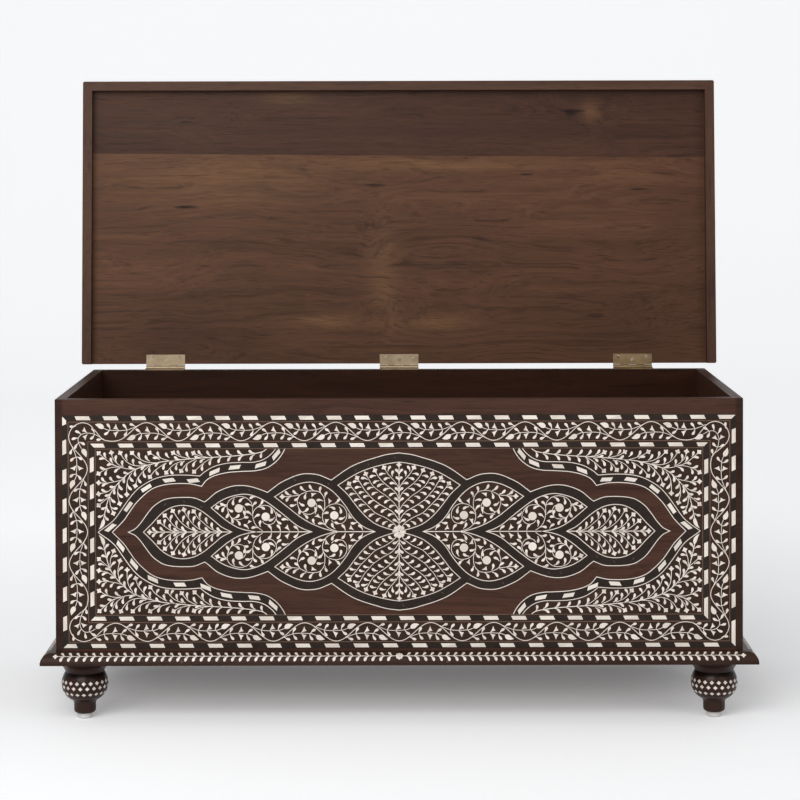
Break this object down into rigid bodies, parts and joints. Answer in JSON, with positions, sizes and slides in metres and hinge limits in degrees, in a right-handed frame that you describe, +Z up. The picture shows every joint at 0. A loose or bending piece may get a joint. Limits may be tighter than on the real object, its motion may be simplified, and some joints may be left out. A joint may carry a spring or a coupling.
{
  "type": "bone inlay trunk",
  "caption": "Storage trunk on turned feet with a hinged lid; dark wood box with bone and ebony inlay, a mitred base moulding and brass butt hinges.",
  "frame": {"origin": "on the floor, under the middle of the trunk's extent with its lid open, 20.7 mm behind the middle of the box", "axes": "+X to the right as seen from the front, +Y to the back, +Z up"},
  "size_m": [1.249, 0.6254, 1.1327],
  "materials": {
    "box_wood": "dark red-brown sheesham, satin lacquer",
    "lid_wood": "red-brown sheesham with wavy grain, satin lacquer",
    "moulding_wood": "dark stained sheesham, satin lacquer",
    "foot_wood": "dark stained sheesham, turned, satin lacquer",
    "plain_wood": "plain sheesham, unlacquered",
    "ebony": "near-black ebony, satin",
    "bone": "off-white camel bone, polished flush",
    "brass": "dull antique brass",
    "steel": "plain steel",
    "glide": "pale grey nylon"
  },
  "bodies": {
    "trunk": {"back_panel": "box_wood", "bottom_board": "plain_wood", "centre_hinge_box_leaf": "brass", "centre_hinge_pin": "brass", "corner_block_back_left": "plain_wood", "corner_block_back_right": "plain_wood", "corner_block_front_left": "plain_wood", "corner_block_front_right": "plain_wood", "corner_block_screws": "steel", "foot_back_left": "foot_wood", "foot_back_right": "foot_wood", "foot_front_left": "foot_wood", "foot_front_right": "foot_wood", "front_border_chips": "bone", "front_border_strips": "ebony", "front_moulding": "moulding_wood", "front_panel": "box_wood", "glide_back_left": "glide", "glide_back_right": "glide", "glide_front_left": "glide", "glide_front_right": "glide", "glide_nails": "steel", "hinge_box_screws": "brass", "left_border_chips": "bone", "left_border_strips": "ebony", "left_hinge_box_leaf": "brass", "left_hinge_pin": "brass", "left_moulding": "moulding_wood", "left_panel": "box_wood", "moulding_nails": "steel", "right_border_chips": "bone", "right_border_strips": "ebony", "right_hinge_box_leaf": "brass", "right_hinge_pin": "brass", "right_moulding": "moulding_wood", "right_panel": "box_wood"},
    "lid": {"centre_hinge_lid_leaf": "brass", "hinge_lid_screws": "brass", "left_hinge_lid_leaf": "brass", "lid_border_chips": "bone", "lid_border_strips": "ebony", "lid_front_board": "lid_wood", "lid_front_lip": "lid_wood", "lid_left_lip": "lid_wood", "lid_rear_board": "lid_wood", "lid_right_lip": "lid_wood", "right_hinge_lid_leaf": "brass"}
  },
  "joints": [
    {"name": "lid_hinge", "type": "hinge", "parent": "trunk", "child": "lid", "pos_m": [0, 0.25333, 0.5698], "axis": [1, 0, 0], "range_deg": [0, 94.2]}
  ]
}
